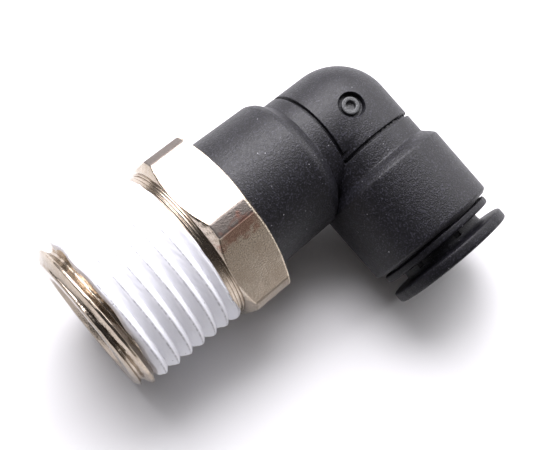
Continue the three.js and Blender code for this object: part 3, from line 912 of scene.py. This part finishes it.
def wire(tree, shader, **outputs):
    """Links outputs to the shader's sockets, whose names are given with _ for each space."""
    for socket, output in outputs.items():
        tree.links.new(output, shader.inputs[socket.replace("_", " ")])


def noise(tree, place, scale, detail, roughness=0.55):
    """Noise from 0 to 1 with features about 1/scale mm across."""
    return add(tree, "TexNoise", {
        "Vector": place, "Scale": scale, "Detail": detail, "Roughness": roughness,
    }).outputs["Fac"]


def remap(tree, value, low, high, to_low=0.0, to_high=1.0):
    """Carries a range of values over to another one, and holds the ends."""
    return add(tree, "MapRange", {
        "Value": value, "From Min": low, "From Max": high, "To Min": to_low, "To Max": to_high,
    }).outputs[0]


def calculate(tree, operation, *values):
    """A Math node on numbers and outputs."""
    return add(tree, "Math", dict(enumerate(values)), operation=operation).outputs[0]


def times(tree, first, second):
    """The product of two values."""
    return calculate(tree, "MULTIPLY", first, second)


def vector(tree, operation, place, other=None):
    """A VectorMath node: a vector, or a number for a distance, a length or a dot product."""
    inputs = {0: place} if other is None else {0: place, 1: other}
    number = operation in ("DISTANCE", "LENGTH", "DOT_PRODUCT")
    return add(tree, "VectorMath", inputs, operation=operation).outputs["Value" if number else "Vector"]


def stretched_place(tree, place, scale, rotation=(0.0, 0.0, 0.0)):
    """The place turned and scaled, so that a noise on it comes out as lines."""
    return add(tree, "Mapping", {"Vector": place, "Rotation": rotation, "Scale": scale}).outputs[0]


def mix(tree, share, first, second):
    """Two colours mixed: all first where share is 0, and all second where it is 1."""
    colours = [c if isinstance(c, bpy.types.NodeSocket) else (*c, 1.0) for c in (first, second)]
    return add(tree, "Mix", {0: share, 6: colours[0], 7: colours[1]}, data_type="RGBA").outputs[2]


def separated(tree, place):
    """The x, y and z of a vector."""
    return add(tree, "SeparateXYZ", {0: place}).outputs


def bump(tree, shader, *layers):
    """Stacks bumps on the shader's normal. A layer is (height, depth in mm, strength)."""
    normal = None
    for height, depth, strength in layers:
        inputs = {"Height": height, "Distance": depth * MM, "Strength": strength}
        if normal is not None:
            inputs["Normal"] = normal
        normal = add(tree, "Bump", inputs).outputs[0]
    wire(tree, shader, Normal=normal)


def specks(tree, place, scale, size, share):
    """Small scattered dots: 1 in a dot. Share is the part of the cells that holds one."""
    cells = add(tree, "TexVoronoi", {"Vector": place, "Scale": scale})
    picked = add(tree, "SeparateColor", {0: cells.outputs["Color"]}).outputs[0]
    chosen = calculate(tree, "LESS_THAN", picked, share)
    near = remap(tree, cells.outputs["Distance"], size, size * 0.6)
    return times(tree, chosen, near)


def stud_place(tree, place):
    """The place from the stud's own origin, and its distance from the stud's axis."""
    own = vector(tree, "SUBTRACT", place, tuple(STUD_ORIGIN))
    _, y, z = separated(tree, own)
    squares = [calculate(tree, "POWER", part, 2.0) for part in (y, z)]
    return own, calculate(tree, "SQRT", calculate(tree, "ADD", *squares))


def hexagon_edge(tree, along, distance):
    """1 along the nicked edge between the flats and the chamfer on the elbow's side, where a painted
    highlight goes.
    """
    slope = (HEX_CORNER_R - HEX_FACE_R) / BODY_SIDE_CHAMFER
    on_chamfer = HEX_FACE_R + HEX_LENGTH * slope
    reach = calculate(tree, "MULTIPLY_ADD", along, slope, distance)
    rising = remap(tree, reach, on_chamfer - 0.62, on_chamfer - 0.38)
    falling = remap(tree, reach, on_chamfer + 0.02, on_chamfer - 0.12)
    return times(tree, rising, falling)


def stain(tree, place, own):
    """1 in the reddish stain on the hexagon, which has a ragged edge."""
    stretched = vector(tree, "MULTIPLY", own, STAIN_STRETCH)
    wander = remap(tree, noise(tree, place, 0.9, 4), 0.3, 0.7, -0.8, 0.8)
    away = calculate(tree, "ADD", vector(tree, "DISTANCE", stretched, STAIN_PLACE), wander)
    return remap(tree, away, STAIN_R + 0.35, STAIN_R - 0.35)


def nickel_material():
    """Bright nickel over turned brass: fine turning lines, a stain, dull tarnished corner bands with
    painted shade on the upper ones, and a painted edge highlight.
    """
    material, tree, shader, place = new_material("nickel_plate", Metallic=1.0)
    own, distance = stud_place(tree, place)
    along, _, height = separated(tree, own)
    band = remap(tree, distance, HEX_CORNER_R - 0.13, HEX_CORNER_R - 0.05)
    near_tip = remap(tree, along, TIP_X + 0.9, TIP_X + 0.5)
    inside = remap(tree, distance, HEX_FACE_R - 0.3, HEX_FACE_R - 1.3)
    cloud = noise(tree, place, 0.35, 4)
    speckle = noise(tree, place, 7.5, 2, 0.6)
    # Painted highlight: a bright golden line along the hexagon's edge on the elbow's side, broken up by
    # the speckle.
    painted_edge_highlight = times(tree, hexagon_edge(tree, along, distance), remap(tree, speckle, 0.40, 0.55))

    clean = (0.62, 0.545, 0.455)
    dull = (0.42, 0.345, 0.265)
    colour = mix(tree, remap(tree, cloud, 0.35, 0.65, 0.15, 0.85), clean, dull)
    colour = mix(tree, times(tree, near_tip, 0.6), colour, (0.30, 0.26, 0.215))
    # Corner bands darkened: a dull tarnish, plus painted shade that grows with height, so the upper bands
    # come out darker and the lowest lighter.
    tarnish_and_painted_shade = times(tree, band, remap(tree, height, 3.0, 8.0, 0.4, 0.9))
    colour = mix(tree, tarnish_and_painted_shade, colour, (0.165, 0.147, 0.138))
    colour = mix(tree, remap(tree, speckle, 0.48, 0.62, 0.0, 0.5), colour, (0.22, 0.185, 0.16))
    colour = mix(tree, times(tree, stain(tree, place, own), 0.65), colour, (0.27, 0.115, 0.08))
    # The painted highlight along that edge, made less metallic so that it stays bright.
    colour = mix(tree, painted_edge_highlight, colour, (0.95, 0.84, 0.66))
    metallic = remap(tree, painted_edge_highlight, 0.0, 1.0, 1.0, 0.35)

    rough = remap(tree, cloud, 0.3, 0.7, 0.13, 0.24)
    rough = calculate(tree, "ADD", rough, times(tree, band, 0.32))
    rough = calculate(tree, "ADD", rough, remap(tree, speckle, 0.5, 0.8, 0.0, 0.15))
    wire(tree, shader, Base_Color=colour, Metallic=metallic, Roughness=rough)

    lines = noise(tree, stretched_place(tree, own, (9.0, 0.25, 0.25)), 1.0, 3, 0.7)
    pits = times(tree, noise(tree, place, 5.0, 3), calculate(tree, "ADD", band, 0.15))
    crumple = times(tree, noise(tree, place, 0.9, 3), inside)
    bump(tree, shader, (lines, 0.03, 0.6), (pits, 0.08, 0.7), (crumple, 0.13, 0.8))
    return material


def sealant_material():
    """White thread sealant: slightly uneven, worn thin beside the crests, with a few dark flecks."""
    material, tree, shader, place = new_material("sealant", Roughness=0.55, IOR=1.45)
    cloud = noise(tree, place, 0.9, 3)
    fleck = specks(tree, place, 1.1, 0.13, 0.10)
    colour = mix(tree, cloud, (0.85, 0.855, 0.91), (0.91, 0.915, 0.945))
    worn = add(tree, "Attribute", attribute_name="worn").outputs["Fac"]
    patchy = remap(tree, noise(tree, place, 2.2, 3), 0.35, 0.65, 0.15, 1.0)
    thin = times(tree, remap(tree, worn, 0.25, 0.85), patchy)
    colour = mix(tree, times(tree, thin, 0.6), colour, (0.22, 0.215, 0.23))
    colour = mix(tree, times(tree, fleck, 0.75), colour, (0.16, 0.15, 0.17))
    wire(tree, shader, Base_Color=colour)
    bump(tree, shader, (noise(tree, place, 2.2, 4), 0.05, 0.5), (noise(tree, place, 12.0, 2), 0.012, 0.5))
    return material


def gate_place():
    """The gate's stub on the resting elbow, in millimetres from the frame's origin."""
    on_elbow = Vector((PORT_X, 0, COLLAR_R - GATE_STUB_DEPTH))
    return tuple(Matrix.Rotation(PORT_TILT, 3, "X") @ on_elbow + STUD_ORIGIN)


def plastic_material(name, grain, specular, shade):
    """Black moulded plastic: grainy skin, pale dust, rubbed edges and a greyer stub at the gate.

    Grain is the number of grains in a millimetre, and shade scales the plastic's own greys."""
    material, tree, shader, place = new_material(name, IOR=1.5, Specular_IOR_Level=specular)
    cloud = noise(tree, place, 0.25, 4)
    mottle = noise(tree, place, 2.4, 3)
    dust = specks(tree, place, 1.5, 0.14, 0.09)
    fine_dust = specks(tree, place, 4.0, 0.18, 0.08)
    streaks = stretched_place(tree, place, (0.5, 7.0, 7.0), rotation=(0.4, 0.9, 0.6))
    scratch = remap(tree, noise(tree, streaks, 0.8, 2), 0.70, 0.78)
    worn = remap(tree, add(tree, "NewGeometry").outputs["Pointiness"], 0.54, 0.62)
    grains = noise(tree, place, grain, 1, 0.6)
    stub = remap(tree, vector(tree, "DISTANCE", place, gate_place()), GATE_STUB_R + 0.1, GATE_STUB_R - 0.1)

    def grey(level):
        """A slightly blue grey."""
        return (level * shade, level * shade * 0.97, level * shade * 1.35)

    colour = mix(tree, cloud, grey(0.006), grey(0.011))
    colour = mix(tree, remap(tree, mottle, 0.5, 0.8, 0.0, 0.3), colour, grey(0.030))
    colour = mix(tree, remap(tree, grains, 0.52, 0.72, 0.0, 0.4), colour, grey(0.15))
    colour = mix(tree, times(tree, worn, 0.25), colour, grey(0.085))
    colour = mix(tree, times(tree, scratch, 0.25), colour, grey(0.12))
    colour = mix(tree, times(tree, fine_dust, 0.4), colour, (0.36, 0.35, 0.39))
    settled = remap(tree, cloud, 0.45, 0.6, 0.2, 0.7)
    colour = mix(tree, times(tree, dust, settled), colour, (0.70, 0.69, 0.74))
    colour = mix(tree, times(tree, stub, 0.8), colour, (0.10, 0.103, 0.105))
    matt = remap(tree, stub, 0.0, 1.0, 1.0, 0.6)
    rough = times(tree, remap(tree, mottle, 0.3, 0.7, 0.40, 0.54), matt)
    wire(tree, shader, Base_Color=colour, Roughness=rough)
    bump(tree, shader, (grains, 0.055, 0.9), (mottle, 0.02, 0.3))
    return material


def rubber_material():
    """Dull black rubber."""
    material, tree, shader, place = new_material("rubber", IOR=1.5)
    mottle = noise(tree, place, 2.0, 3)
    colour = mix(tree, mottle, (0.012, 0.012, 0.013), (0.026, 0.026, 0.028))
    wire(tree, shader, Base_Color=colour, Roughness=remap(tree, mottle, 0.3, 0.7, 0.55, 0.75))
    bump(tree, shader, (noise(tree, place, 9.0, 2), 0.02, 0.5))
    return material


def acetal_material():
    """Off-white acetal."""
    material, tree, shader, place = new_material("acetal", IOR=1.48)
    mottle = noise(tree, place, 1.5, 3)
    colour = mix(tree, mottle, (0.70, 0.69, 0.64), (0.80, 0.79, 0.75))
    wire(tree, shader, Base_Color=colour, Roughness=remap(tree, mottle, 0.3, 0.7, 0.35, 0.5))
    bump(tree, shader, (noise(tree, place, 6.0, 2), 0.015, 0.4))
    return material


def stainless_material():
    """Stamped stainless steel with fine rolling lines."""
    material, tree, shader, place = new_material("stainless", Metallic=1.0)
    lines = noise(tree, stretched_place(tree, place, (18.0, 18.0, 0.8)), 1.0, 2)
    colour = mix(tree, lines, (0.55, 0.56, 0.57), (0.70, 0.70, 0.71))
    wire(tree, shader, Base_Color=colour, Roughness=remap(tree, lines, 0.3, 0.7, 0.22, 0.38))
    bump(tree, shader, (lines, 0.01, 0.4))
    return material


# ---- Camera, floor and light ----
WINDOW = (0.27, 0.54, 0.80)       # directions from the fitting
SIDE = (0.85, 0.05, 0.5)
GLOW = (0.30, 0.60, 0.74)
LAMP_DISTANCE = 0.45              # metres
LAMP_WIDTH = 0.36


def make_camera():
    """Looks down on the fitting from above the thread's tip."""
    target = Vector((-0.53, 0.78, 11.71)) * MM
    distance = 104.04 * MM
    azimuth, elevation, roll = (math.radians(a) for a in (-51.64, 69.5, 10.68))
    data = bpy.data.cameras.new("camera")
    data.sensor_width = 36
    data.lens = 56.13
    data.shift_x, data.shift_y = 0.0011, 0.0091
    data.clip_start, data.clip_end = 0.005, 20
    camera = new_object("camera", data)
    back = Vector((
        math.sin(azimuth) * math.cos(elevation),
        -math.cos(azimuth) * math.cos(elevation),
        math.sin(elevation),
    ))
    upright = (-back).to_track_quat("-Z", "Y").to_matrix()
    camera.matrix_world = Matrix.LocRotScale(
        target + back * distance, upright @ Matrix.Rotation(roll, 3, "Z"), None,
    )
    bpy.context.scene.camera = camera


def make_floor():
    """A pale sheet that glows far away, so that it runs into the pale room without an edge."""
    half = 3.0                    # metres
    glow_start, glow_end = 200.0, 900.0
    mesh = bpy.data.meshes.new("floor")
    corners = [(-half, -half, 0), (half, -half, 0), (half, half, 0), (-half, half, 0)]
    mesh.from_pydata(corners, [], [(0, 1, 2, 3)])
    floor = new_object("floor", mesh)
    material, tree, shader, place = new_material(
        "floor", Roughness=0.6, Specular_IOR_Level=0.2, Emission_Color=(1.0, 1.0, 1.0, 1.0),
    )
    cloud = noise(tree, place, 0.05, 3)
    colour = mix(tree, cloud, (0.83, 0.83, 0.83), (0.86, 0.86, 0.86))
    glow = remap(tree, vector(tree, "LENGTH", place), glow_start, glow_end)
    wire(tree, shader, Base_Color=colour, Emission_Strength=glow)
    mesh.materials.append(material)


def softbox(name, direction, power, colour):
    """A square lamp in a direction from the fitting, facing it."""
    data = bpy.data.lights.new(name, "AREA")
    data.size = LAMP_WIDTH
    data.energy = power
    data.color = colour
    lamp = new_object(name, data)
    towards = Vector(direction).normalized()
    middle = (cad_box[0] + cad_box[1]) / 2
    lamp.location = middle + towards * LAMP_DISTANCE
    lamp.rotation_mode = "QUATERNION"
    lamp.rotation_quaternion = towards.to_track_quat("Z", "Y")


def make_room():
    """A room that glows round the window and is dim above elsewhere. It is grey at the sides, and
    darker towards the thread's tip. The camera sees plain white."""
    world = bpy.data.worlds.new("room")
    bpy.context.scene.world = world
    world.use_nodes = True
    tree = world.node_tree
    background = tree.nodes["Background"]
    direction = add(tree, "TexCoord").outputs["Generated"]
    x, y, z = separated(tree, direction)
    glow = vector(tree, "DOT_PRODUCT", direction, tuple(Vector(GLOW).normalized()))
    above = mix(tree, remap(tree, glow, 0.62, 0.95), (0.07, 0.066, 0.07), (1.9, 1.86, 1.95))
    sides = mix(tree, remap(tree, y, -1.0, 1.0), (0.29, 0.268, 0.25), (0.24, 0.226, 0.226))
    sides = mix(tree, remap(tree, x, -0.45, 0.05), (0.13, 0.122, 0.125), sides)
    room = mix(tree, remap(tree, z, 0.20, 0.48), sides, above)
    seen = add(tree, "LightPath").outputs["Is Camera Ray"]
    wire(tree, background, Color=mix(tree, seen, room, (1.0, 1.0, 1.0)))


nickel = nickel_material()
sealant = sealant_material()
body_plastic = plastic_material("black_plastic", grain=5.0, specular=0.42, shade=0.50)
ring_plastic = plastic_material("black_plastic_smooth", grain=6.0, specular=0.26, shade=0.4)
rubber = rubber_material()
acetal = acetal_material()
stainless = stainless_material()

make_camera()
make_floor()
softbox("window", WINDOW, power=3.1, colour=(1.0, 0.98, 1.03))
softbox("side", SIDE, power=1.3, colour=(1.0, 0.99, 1.02))
make_room()

make_stud(nickel)
make_sealant(sealant)
make_elbow(body_plastic)
make_guide_ring(ring_plastic)
make_release_ring(ring_plastic)
make_seal(rubber)
make_retainer(acetal)
make_claw_rim(stainless)
claws = sorted(name for name in frame["nodes"] if name.startswith("grip_claw_"))
for number in range(1, len(claws) + 1):
    make_claw(number, len(claws), stainless)
for node, material in (("stem_snap_ring", stainless), ("stem_o_ring", rubber)):
    materials = frame["nodes"][node].data.materials
    materials.clear()
    materials.append(material)

bpy.context.scene.view_settings.view_transform = "Standard"
